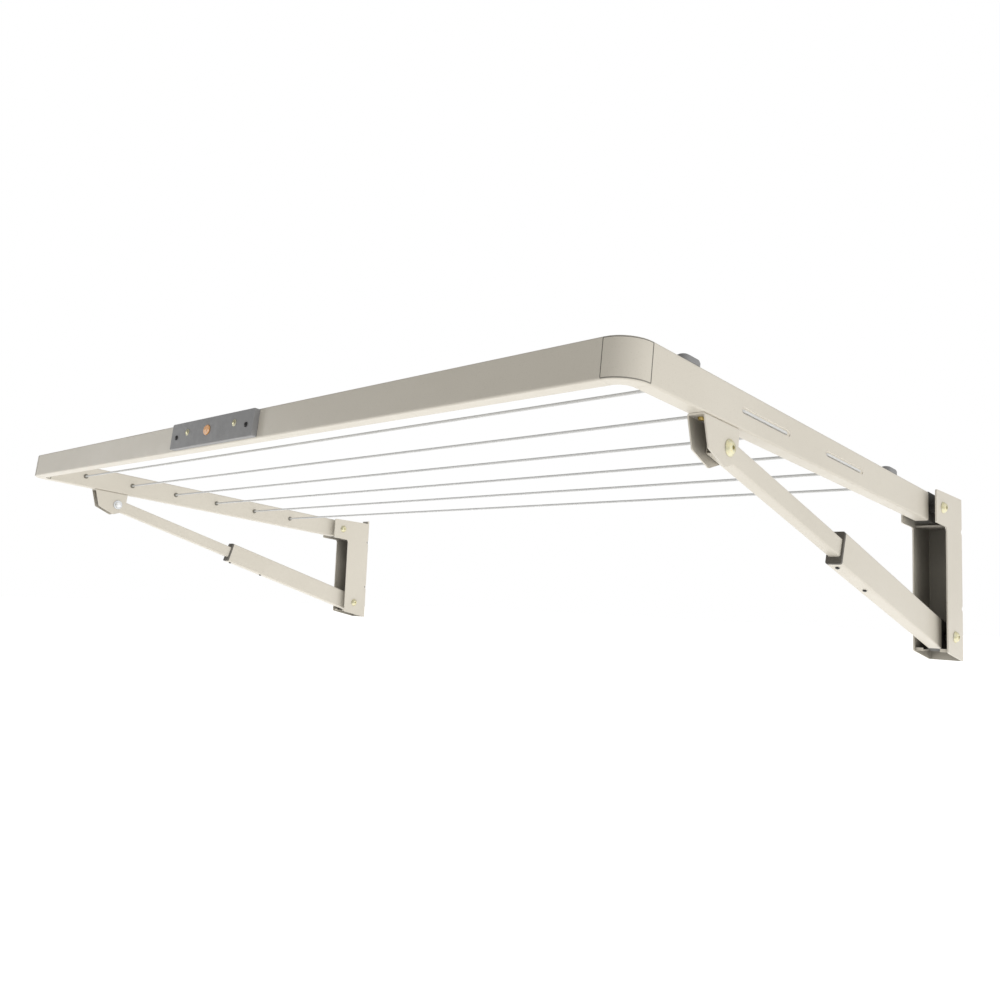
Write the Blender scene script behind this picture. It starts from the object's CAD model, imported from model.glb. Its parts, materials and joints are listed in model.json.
"""Looks for the wall mounted fold-down drying rack: materials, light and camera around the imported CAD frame.

Everything is in metres in the CAD frame: the wall is the plane Y = 0, the rack reaches out towards -Y, and +Z
is up.
"""
import json
import math

import bpy
import bmesh
from mathutils import Matrix, Vector


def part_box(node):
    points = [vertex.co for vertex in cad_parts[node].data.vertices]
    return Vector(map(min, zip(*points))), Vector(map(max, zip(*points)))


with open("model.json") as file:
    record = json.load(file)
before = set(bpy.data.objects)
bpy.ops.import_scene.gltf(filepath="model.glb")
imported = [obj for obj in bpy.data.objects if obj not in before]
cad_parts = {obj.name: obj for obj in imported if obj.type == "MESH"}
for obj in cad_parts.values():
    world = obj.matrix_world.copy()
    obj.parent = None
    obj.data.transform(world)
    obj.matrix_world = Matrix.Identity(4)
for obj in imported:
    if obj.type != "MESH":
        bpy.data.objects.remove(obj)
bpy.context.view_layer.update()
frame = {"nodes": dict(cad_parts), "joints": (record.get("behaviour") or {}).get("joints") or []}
NODES = frame["nodes"]

# ---------------------------------------------------------------- camera, at the photograph's viewing angle
CAMERA_PLACE = Vector((1.4341, -1.7464, -0.1785))
CAMERA_AZIMUTH = math.radians(44.30)      # turned left from +Y
CAMERA_RISE = math.radians(5.91)          # looking up
CAMERA_RIGHT_TIP = 0.0396                 # how much the picture's right side is tipped up
CAMERA_LENS = 32.78
SENSOR = 36.0

forward = Vector((
    -math.sin(CAMERA_AZIMUTH) * math.cos(CAMERA_RISE),
    math.cos(CAMERA_AZIMUTH) * math.cos(CAMERA_RISE),
    math.sin(CAMERA_RISE),
))
level = forward.cross(Vector((0.0, 0.0, 1.0))).normalized()
upright = level.cross(forward).normalized()
roll = math.asin(CAMERA_RIGHT_TIP / upright.z)
right = level * math.cos(roll) + upright * math.sin(roll)
up = right.cross(forward).normalized()
camera = bpy.data.cameras.new("camera")
camera.lens = CAMERA_LENS
camera.sensor_width = SENSOR
camera.sensor_fit = "HORIZONTAL"
camera.clip_start = 0.02
camera_object = bpy.data.objects.new("camera", camera)
camera_object.matrix_world = Matrix((
    (right.x, up.x, -forward.x, CAMERA_PLACE.x),
    (right.y, up.y, -forward.y, CAMERA_PLACE.y),
    (right.z, up.z, -forward.z, CAMERA_PLACE.z),
    (0.0, 0.0, 0.0, 1.0),
))
bpy.context.scene.collection.objects.link(camera_object)
bpy.context.scene.camera = camera_object
bpy.context.scene.view_settings.view_transform = "Standard"


# ---------------------------------------------------------------- places that the finishes need
PIN_SEAT = 0.0005               # from a bracket's side to the plane where a pin's head begins
SPIGOT_SHADE = 0.0011           # a corner piece's seam shading begins this far outside the tube's end
ARM_FRONT = 0.8500              # arm pivot to the arm's front end, along the arm
ARM_SLOPE = math.radians(5.2)   # the open arms rise towards the front
SKIN = 0.0004                   # depth below an arm's outer face at which its inside begins
SLOT_LIT = (0.0, 0.0200)        # heights inside an arm that catch the light coming in through its cord slots
SLOT_GLOW = 0.40
RIM = (0.0224, 0.0238)          # the corner pieces' dark rim, in height above and below the arms' middle
RIM_SHADE = 0.80

ARM_LOW, ARM_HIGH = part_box("side_arm_right")
ARM_X = (ARM_LOW.x + ARM_HIGH.x) / 2
ARM_INSIDE = (ARM_HIGH.x - ARM_LOW.x) / 2 - SKIN
BRACKET_LOW, BRACKET_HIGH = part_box("wall_bracket_right")
CHEEK_FACE = (BRACKET_HIGH.x - BRACKET_LOW.x) / 2 - PIN_SEAT
SEAM_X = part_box("front_rail")[1].x + SPIGOT_SHADE
FOLD = next(joint for joint in frame["joints"] if joint["name"] == "fold")
PIVOT = Vector(FOLD["pos_m"])
SLOPE_RUN = math.cos(ARM_SLOPE)
SLOPE_RISE = math.sin(ARM_SLOPE)
SEAM_REACH = PIVOT.y * SLOPE_RUN - ARM_FRONT - SPIGOT_SHADE


# ---------------------------------------------------------------- materials
class Look:
    """A Principled material with short ways to add the nodes that every finish here uses."""

    def __init__(self, name, roughness, metallic=0.0, **sockets):
        self.material = bpy.data.materials.new(name)
        self.material.use_nodes = True
        self.tree = self.material.node_tree
        self.nodes = self.tree.nodes
        self.shader = self.nodes["Principled BSDF"]
        self.shader.inputs["Roughness"].default_value = roughness
        self.shader.inputs["Metallic"].default_value = metallic
        for key, value in sockets.items():
            self.shader.inputs[key.replace("_", " ")].default_value = value
        self.place = self.nodes.new("ShaderNodeTexCoord").outputs["Object"]

    def link(self, a, b):
        self.tree.links.new(a, b)

    def noise(self, size, detail=3.0, stretch=None, roughness=0.55):
        """Noise whose blotches are about `size` metres across."""
        node = self.nodes.new("ShaderNodeTexNoise")
        node.inputs["Scale"].default_value = 1.0 / size
        node.inputs["Detail"].default_value = detail
        node.inputs["Roughness"].default_value = roughness
        source = self.place
        if stretch:
            mapping = self.nodes.new("ShaderNodeMapping")
            mapping.inputs["Scale"].default_value = stretch
            self.link(source, mapping.inputs["Vector"])
            source = mapping.outputs["Vector"]
        self.link(source, node.inputs["Vector"])
        return node.outputs["Fac"]

    def cells(self, size):
        node = self.nodes.new("ShaderNodeTexVoronoi")
        node.inputs["Scale"].default_value = 1.0 / size
        self.link(self.place, node.inputs["Vector"])
        return node.outputs["Distance"]

    def span(self, value, low, high, to_low=0.0, to_high=1.0):
        node = self.nodes.new("ShaderNodeMapRange")
        node.inputs["From Min"].default_value = low
        node.inputs["From Max"].default_value = high
        node.inputs["To Min"].default_value = to_low
        node.inputs["To Max"].default_value = to_high
        self.link(value, node.inputs["Value"])
        return node.outputs["Result"]

    def math(self, operation, a, b=None):
        node = self.nodes.new("ShaderNodeMath")
        node.operation = operation
        for socket, value in zip(node.inputs, (a, b)):
            if value is None:
                continue
            if isinstance(value, (int, float)):
                socket.default_value = value
            else:
                self.link(value, socket)
        return node.outputs["Value"]

    def mix(self, factor, a, b):
        """Colour a where the factor is 0 and b where it is 1; each is an RGB triple or a socket."""
        node = self.nodes.new("ShaderNodeMix")
        node.data_type = "RGBA"
        self.link(factor, node.inputs["Factor"])
        # in RGBA mode a Mix node's colours are its inputs 6 and 7 and its output 2
        for socket, value in ((node.inputs[6], a), (node.inputs[7], b)):
            if isinstance(value, tuple):
                socket.default_value = (*value, 1.0)
            else:
                self.link(value, socket)
        return node.outputs[2]

    def edges(self, radius, low=0.02, high=0.22):
        """1 on the crest of an edge and 0 on flat metal, from how far a bevelled normal turns."""
        bevel = self.nodes.new("ShaderNodeBevel")
        bevel.samples = 6
        bevel.inputs["Radius"].default_value = radius
        geometry = self.nodes.new("ShaderNodeNewGeometry")
        dot = self.nodes.new("ShaderNodeVectorMath")
        dot.operation = "DOT_PRODUCT"
        self.link(bevel.outputs["Normal"], dot.inputs[0])
        self.link(geometry.outputs["Normal"], dot.inputs[1])
        return self.span(self.math("SUBTRACT", 1.0, dot.outputs["Value"]), low, high)

    def recess(self, reach, darkest, closed=0.35, open_air=0.95):
        """1 in the open, falling to `darkest` deep inside a hollow of the piece itself."""
        node = self.nodes.new("ShaderNodeAmbientOcclusion")
        node.samples = 8
        node.only_local = True
        node.inputs["Distance"].default_value = reach
        return self.span(node.outputs["AO"], closed, open_air, darkest, 1.0)

    def scale(self, colour, amount):
        """The colour times a number from 0 to 1."""
        return self.mix(amount, (0.0, 0.0, 0.0), colour)

    def position(self):
        node = self.nodes.new("ShaderNodeSeparateXYZ")
        self.link(self.place, node.inputs["Vector"])
        return node.outputs

    def colour(self, socket):
        self.link(socket, self.shader.inputs["Base Color"])

    def rough(self, socket):
        self.link(socket, self.shader.inputs["Roughness"])

    def bump(self, height, depth, strength=1.0):
        """Raises the surface by height (0 to 1) times depth in metres; a second call adds to the first."""
        node = self.nodes.new("ShaderNodeBump")
        node.inputs["Strength"].default_value = strength
        node.inputs["Distance"].default_value = depth
        self.link(height, node.inputs["Height"])
        earlier = self.shader.inputs["Normal"].links
        if earlier:
            self.link(earlier[0].from_socket, node.inputs["Normal"])
        self.link(node.outputs["Normal"], self.shader.inputs["Normal"])


def arm_height(look, y, z):
    """Height above the arms' middle line, for a point of the frame in its open position."""
    lift = look.math("ADD", look.math("MULTIPLY", y, SLOPE_RISE), look.math("MULTIPLY", z, SLOPE_RUN))
    return look.math("SUBTRACT", lift, PIVOT.y * SLOPE_RISE)


def corner_shade(look):
    """1 on a corner piece's spigots and RIM_SHADE on its rim."""
    x, y, z = look.position()
    height = arm_height(look, y, z)
    behind = look.math("SUBTRACT", look.math("MULTIPLY", y, SLOPE_RUN), look.math("MULTIPLY", z, SLOPE_RISE))
    beyond_rail = look.math("LESS_THAN", look.math("ABSOLUTE", x), SEAM_X)
    beyond_arm = look.math("GREATER_THAN", behind, SEAM_REACH)
    spigots = look.math("MULTIPLY", look.math("MAXIMUM", beyond_rail, beyond_arm),
                        look.math("GREATER_THAN", height, -RIM[0]))
    off = look.math("ABSOLUTE", height)
    rim = look.math("MULTIPLY", look.math("GREATER_THAN", off, RIM[0]), look.math("LESS_THAN", off, RIM[1]))
    return look.math("MAXIMUM", spigots, look.math("MULTIPLY", rim, RIM_SHADE))


def slot_light(look):
    """1 inside an arm at the heights of SLOT_LIT, 0 on its outer skin."""
    x, y, z = look.position()
    off_middle = look.math("ABSOLUTE", look.math("SUBTRACT", look.math("ABSOLUTE", x), ARM_X))
    height = arm_height(look, y, z)
    lit = look.math("LESS_THAN", off_middle, ARM_INSIDE)
    lit = look.math("MULTIPLY", lit, look.math("GREATER_THAN", height, SLOT_LIT[0]))
    return look.math("MULTIPLY", lit, look.math("LESS_THAN", height, SLOT_LIT[1]))


def cream_powder_coat(name, recess=None, seams=False, slots=False):
    """Satin cream powder coat.

    recess is (reach, darkest) for a pressed part whose hollow stays in shade; seams darkens the spigots and
    the rim of a corner piece; slots lights the inside of an arm behind its cord slots.
    """
    look = Look(name, 0.40, Coat_Weight=0.10, Coat_Roughness=0.30)
    drift = look.noise(0.22, 2.0)
    speck = look.noise(0.0016, 2.0)
    base = look.mix(look.span(drift, 0.3, 0.7), (0.665, 0.622, 0.538), (0.700, 0.657, 0.572))
    base = look.mix(look.span(speck, 0.60, 0.78), base, (0.60, 0.555, 0.47))
    worn = look.math("MULTIPLY", look.edges(0.0012), look.span(look.noise(0.011), 0.46, 0.60))
    base = look.mix(worn, base, (0.78, 0.75, 0.69))
    if recess:
        base = look.scale(base, look.recess(*recess))
    if seams:
        base = look.mix(corner_shade(look), base, (0.12, 0.112, 0.095))
    if slots:
        look.shader.inputs["Emission Color"].default_value = (1.0, 0.97, 0.90, 1.0)
        look.link(look.math("MULTIPLY", slot_light(look), SLOT_GLOW), look.shader.inputs["Emission Strength"])
    look.colour(base)
    look.rough(look.span(look.noise(0.035, 4.0), 0.3, 0.7, 0.34, 0.47))
    look.bump(look.noise(0.0028, 2.0), 0.00022, 0.30)
    look.bump(look.noise(0.0007, 1.0), 0.00005, 0.25)
    return look.material


def yellow_zinc(name, inside=None, shown=None, tints=((0.78, 0.72, 0.45), (0.76, 0.75, 0.56))):
    """Yellow passivated zinc, in two mixed tints.

    A pin with a colour `inside` is yellow only where it shows: on the outer side of its arm's middle plane
    (`shown` is "outer"), or further than `shown` metres from that plane.  The rest has the colour `inside`.
    """
    look = Look(name, 0.30, 0.85)
    tint = look.noise(0.004, 3.0)
    base = look.mix(look.span(tint, 0.35, 0.65), *tints)
    base = look.mix(look.span(look.noise(0.0016), 0.58, 0.75), base, (0.66, 0.52, 0.36))
    base = look.mix(look.edges(0.0005), base, (0.90, 0.88, 0.80))
    if inside:
        x = look.position()[0]
        out = look.math("SUBTRACT", look.math("ABSOLUTE", x), ARM_X)
        if shown == "outer":
            keep = look.math("GREATER_THAN", out, 0.0)
        else:
            keep = look.math("GREATER_THAN", look.math("ABSOLUTE", out), shown)
        base = look.mix(keep, inside, base)
    look.colour(base)
    look.rough(look.span(look.noise(0.0011), 0.3, 0.7, 0.24, 0.42))
    look.bump(look.noise(0.0005), 0.00003, 0.35)
    return look.material


def bright_zinc():
    """Plain zinc with fine marks drawn one way."""
    look = Look("bright_zinc", 0.28, 1.0)
    base = look.mix(look.span(look.noise(0.003), 0.35, 0.65), (0.78, 0.79, 0.80), (0.68, 0.70, 0.73))
    look.colour(look.mix(look.edges(0.0005), base, (0.92, 0.92, 0.92)))
    look.rough(look.span(look.noise(0.0009, 3.0, (1.0, 8.0, 1.0)), 0.3, 0.7, 0.20, 0.40))
    look.bump(look.noise(0.0006, 2.0, (1.0, 6.0, 1.0)), 0.00003, 0.4)
    return look.material


def black_oxide():
    """Blackened steel screws, paler on their edges."""
    look = Look("black_oxide", 0.40, 0.75)
    base = look.mix(look.span(look.noise(0.002), 0.35, 0.65), (0.030, 0.031, 0.034), (0.060, 0.058, 0.056))
    look.colour(look.mix(look.edges(0.0004), base, (0.20, 0.20, 0.21)))
    look.rough(look.span(look.noise(0.0012), 0.3, 0.7, 0.30, 0.48))
    look.bump(look.noise(0.0006), 0.00003, 0.4)
    return look.material


def fine_moulding(name, dark, pale, edge):
    """Matt moulded plastic with a fine grain."""
    look = Look(name, 0.54, 0.0)
    base = look.mix(look.span(look.noise(0.02), 0.3, 0.7), dark, pale)
    look.colour(look.mix(look.edges(0.0006), base, edge))
    look.rough(look.span(look.noise(0.006), 0.3, 0.7, 0.45, 0.61))
    look.bump(look.cells(0.0009), 0.00006, 0.45)
    return look.material


def grey_moulding():
    """Mid grey moulded plastic of the cover plate and the clips."""
    look = Look("grey_moulding", 0.45, 0.0)
    base = look.mix(look.span(look.noise(0.05), 0.3, 0.7), (0.262, 0.262, 0.266), (0.285, 0.285, 0.287))
    base = look.mix(look.span(look.noise(0.0011), 0.6, 0.8), base, (0.235, 0.235, 0.24))
    look.colour(look.mix(look.edges(0.0009), base, (0.38, 0.38, 0.38)))
    look.rough(look.span(look.noise(0.008), 0.3, 0.7, 0.38, 0.54))
    look.bump(look.cells(0.0012), 0.00008, 0.40)
    return look.material


BRAID_ALONG = 3300.0            # turns of the cord's braid, in radians for each metre along and across it
BRAID_ACROSS = 2600.0


def grey_cord():
    """Braided cord of two crossing sets of strands."""
    look = Look("grey_cord", 0.62, 0.0, Sheen_Weight=0.15)
    x, y, z = look.position()
    along = look.math("MULTIPLY", x, BRAID_ALONG)
    across = look.math("MULTIPLY", look.math("ADD", y, z), BRAID_ACROSS)
    strands = []
    for lay in ("ADD", "SUBTRACT"):
        slant = look.math(lay, along, across)
        strands.append(look.math("SINE", slant))
    braid = look.math("MAXIMUM", *strands)
    base = look.mix(look.span(look.noise(0.05), 0.3, 0.7), (0.70, 0.705, 0.70), (0.76, 0.762, 0.755))
    look.colour(look.mix(look.span(braid, -0.4, 0.6), (0.60, 0.605, 0.60), base))
    look.rough(look.span(look.noise(0.003), 0.3, 0.7, 0.52, 0.70))
    look.bump(braid, 0.00012, 0.5)
    return look.material


def amber_stud():
    """Glossy amber plastic."""
    look = Look("amber_stud", 0.30, 0.0, Coat_Weight=0.3)
    look.colour(look.mix(look.span(look.noise(0.006), 0.3, 0.7), (0.72, 0.30, 0.07), (0.86, 0.42, 0.12)))
    look.rough(look.span(look.noise(0.002), 0.3, 0.7, 0.24, 0.38))
    look.bump(look.noise(0.0008), 0.00003, 0.3)
    return look.material


CREAM = cream_powder_coat("cream_powder_coat")
CREAM_ARM = cream_powder_coat("cream_arm", slots=True)
CREAM_CORNER = cream_powder_coat("cream_corner", seams=True)
CREAM_BRACKET = cream_powder_coat("cream_bracket", recess=(0.075, 0.35))
CREAM_HANGER = cream_powder_coat("cream_hanger", recess=(0.040, 0.46))
ZINC = yellow_zinc("yellow_zinc")
ZINC_GOLD = yellow_zinc("golden_zinc", tints=((0.66, 0.47, 0.12), (0.74, 0.58, 0.22)))
ZINC_WALL_PIN = yellow_zinc("yellow_zinc_wall_pin", (0.035, 0.034, 0.030), CHEEK_FACE)
ZINC_STRUT_PIN = yellow_zinc("yellow_zinc_strut_pin", (0.86, 0.87, 0.88), "outer")
STEEL = bright_zinc()
OXIDE = black_oxide()
BLACK = fine_moulding("black_moulding", (0.040, 0.038, 0.033), (0.062, 0.059, 0.052), (0.13, 0.125, 0.115))
COLLAR = fine_moulding("collar_moulding", (0.110, 0.101, 0.086), (0.138, 0.128, 0.112), (0.24, 0.23, 0.21))
GROMMET = fine_moulding("grommet_moulding", (0.185, 0.172, 0.140), (0.225, 0.210, 0.175), (0.34, 0.32, 0.28))
COVER = grey_moulding()
CORD = grey_cord()
AMBER = amber_stud()

# The start of a node's name decides its finish and how far its sharp edges are rounded, in metres.
FINISHES = (
    ("clothesline", CORD, 0.0),
    ("emblem_stud", AMBER, 0.0004),
    ("cover_plate", COVER, 0.0),
    ("line_clip", COVER, 0.0005),
    ("line_grommet", GROMMET, 0.0002),
    ("plate_screw", OXIDE, 0.0002),
    ("strut_screw", OXIDE, 0.0002),
    ("strut_washer", STEEL, 0.0002),
    ("strut_collar", COLLAR, 0.0),
    ("strut_foot_stud", ZINC_WALL_PIN, 0.0003),
    ("strut_foot", BLACK, 0.0008),
    ("arm_pivot_block", BLACK, 0.0008),
    ("arm_pivot_pin", ZINC_WALL_PIN, 0.0003),
    ("hanger_bolt", ZINC_GOLD, 0.0003),
    ("plate_rivet", ZINC, 0.0002),
    ("strut_pivot_pin", ZINC_STRUT_PIN, 0.0003),
    ("corner", CREAM_CORNER, 0.0004),
    ("wall_bracket", CREAM_BRACKET, 0.0004),
    ("strut_hanger", CREAM_HANGER, 0.0004),
    ("side_arm", CREAM_ARM, 0.0004),
    ("", CREAM, 0.0004),
)
SHARP = math.radians(32.0)      # edges that turn more than this are rounded, and stay sharp in the shading
WELD = 0.000002
BEVEL_STEPS = 2
FLATNESS = 100


def smooth_by_angle():
    """Geometry node group: smooth shading, apart from edges sharper than SHARP."""
    group = bpy.data.node_groups.new("smooth_by_angle", "GeometryNodeTree")
    group.interface.new_socket("Geometry", in_out="INPUT", socket_type="NodeSocketGeometry")
    group.interface.new_socket("Geometry", in_out="OUTPUT", socket_type="NodeSocketGeometry")
    nodes, links = group.nodes, group.links
    start = nodes.new("NodeGroupInput")
    end = nodes.new("NodeGroupOutput")
    clear = nodes.new("GeometryNodeRemoveAttribute")
    clear.inputs["Name"].default_value = "custom_normal"
    faces = nodes.new("GeometryNodeSetShadeSmooth")
    faces.domain = "FACE"
    faces.inputs["Shade Smooth"].default_value = True
    edges = nodes.new("GeometryNodeSetShadeSmooth")
    edges.domain = "EDGE"
    angle = nodes.new("GeometryNodeInputMeshEdgeAngle")
    compare = nodes.new("FunctionNodeCompare")
    compare.data_type = "FLOAT"
    compare.operation = "LESS_THAN"
    compare.inputs["B"].default_value = SHARP
    links.new(start.outputs[0], clear.inputs[0])
    links.new(clear.outputs[0], faces.inputs[0])
    links.new(faces.outputs[0], edges.inputs[0])
    links.new(angle.outputs["Unsigned Angle"], compare.inputs["A"])
    links.new(compare.outputs["Result"], edges.inputs["Shade Smooth"])
    links.new(edges.outputs[0], end.inputs[0])
    return group


SMOOTH = smooth_by_angle()

for name, node in NODES.items():
    prefix, finish, rounding = next(row for row in FINISHES if name.startswith(row[0]))
    node.data.materials.clear()
    node.data.materials.append(finish)
    weld = node.modifiers.new("join_triangles", "WELD")
    weld.merge_threshold = WELD
    if rounding:
        bevel = node.modifiers.new("soft_edges", "BEVEL")
        bevel.width = rounding
        bevel.segments = BEVEL_STEPS
        bevel.limit_method = "ANGLE"
        bevel.angle_limit = SHARP
        bevel.use_clamp_overlap = True
        bevel.harden_normals = False
    node.modifiers.new("smooth", "NODES").node_group = SMOOTH
    flatten = node.modifiers.new("flat_large_faces", "WEIGHTED_NORMAL")
    flatten.mode = "FACE_AREA"
    flatten.weight = FLATNESS
    flatten.keep_sharp = True

# ---------------------------------------------------------------- floor, light and backdrop
FLOOR_Z = -1.60
FLOOR_HALF = 60.0
FLOOR_GLOW = 0.80
FLOOR_BRIGHT_Y = -1.2           # the floor glows from here back, and dims towards the front
FLOOR_DIM_Y = -3.6
AMBIENT = 0.03
LOBES = (            # axis, sign, strength: light arriving from that side
    ("X", 1.0, 1.00),
    ("X", -1.0, 0.10),
    ("Y", 1.0, 0.25),
    ("Z", 1.0, 0.35),
)


def pale_floor():
    """Pale floor that glows under and behind the rack."""
    look = Look("pale_floor", 0.9, Emission_Strength=FLOOR_GLOW)
    glow = look.span(look.position()[1], FLOOR_DIM_Y, FLOOR_BRIGHT_Y)
    look.link(look.mix(glow, (0.20, 0.20, 0.20), (1.0, 0.99, 0.97)), look.shader.inputs["Emission Color"])
    look.colour(look.mix(look.noise(0.8, 2.0), (0.84, 0.84, 0.84), (0.87, 0.87, 0.87)))
    bm = bmesh.new()
    square = ((-1, -1), (1, -1), (1, 1), (-1, 1))
    bm.faces.new([bm.verts.new((x * FLOOR_HALF, y * FLOOR_HALF, FLOOR_Z)) for x, y in square])
    mesh = bpy.data.meshes.new("floor")
    bm.to_mesh(mesh)
    bm.free()
    floor = bpy.data.objects.new("floor", mesh)
    floor.data.materials.append(look.material)
    bpy.context.scene.collection.objects.link(floor)


def studio_world():
    """White to the camera; as light, brightest from below and from the right, as in a white studio cove."""
    world = bpy.data.worlds.new("studio")
    bpy.context.scene.world = world
    world.use_nodes = True
    nodes, links = world.node_tree.nodes, world.node_tree.links
    backdrop = nodes["Background"]
    backdrop.inputs["Color"].default_value = (1.0, 1.0, 1.0, 1.0)
    lamp = nodes.new("ShaderNodeBackground")
    direction = nodes.new("ShaderNodeTexCoord").outputs["Generated"]
    parts = nodes.new("ShaderNodeSeparateXYZ")
    links.new(direction, parts.inputs["Vector"])

    def compute(operation, a, b):
        node = nodes.new("ShaderNodeMath")
        node.operation = operation
        for socket, value in zip(node.inputs, (a, b)):
            if isinstance(value, (int, float)):
                socket.default_value = value
            else:
                links.new(value, socket)
        return node.outputs["Value"]

    total = AMBIENT
    for axis, sign, amount in LOBES:
        lobe = compute("MAXIMUM", compute("MULTIPLY", parts.outputs[axis], sign), 0.0)
        total = compute("ADD", total, compute("MULTIPLY", lobe, amount))
    links.new(total, lamp.inputs["Strength"])
    lamp.inputs["Color"].default_value = (1.0, 0.995, 0.98, 1.0)
    seen = nodes.new("ShaderNodeLightPath").outputs["Is Camera Ray"]
    blend = nodes.new("ShaderNodeMixShader")
    links.new(seen, blend.inputs["Fac"])
    links.new(lamp.outputs["Background"], blend.inputs[1])
    links.new(backdrop.outputs["Background"], blend.inputs[2])
    links.new(blend.outputs["Shader"], nodes["World Output"].inputs["Surface"])


def soft_light(name, place, aim, size, power):
    light = bpy.data.lights.new(name, "AREA")
    light.shape = "SQUARE"
    light.size = size
    light.energy = power
    lamp = bpy.data.objects.new(name, light)
    lamp.location = place
    lamp.rotation_euler = (Vector(aim) - Vector(place)).to_track_quat("-Z", "Y").to_euler()
    lamp.visible_camera = False
    bpy.context.scene.collection.objects.link(lamp)


pale_floor()
studio_world()
soft_light("left_front_softbox", place=(-2.6, -2.4, 0.3), aim=(-0.9, -1.0, 0.0), size=1.0, power=10.0)
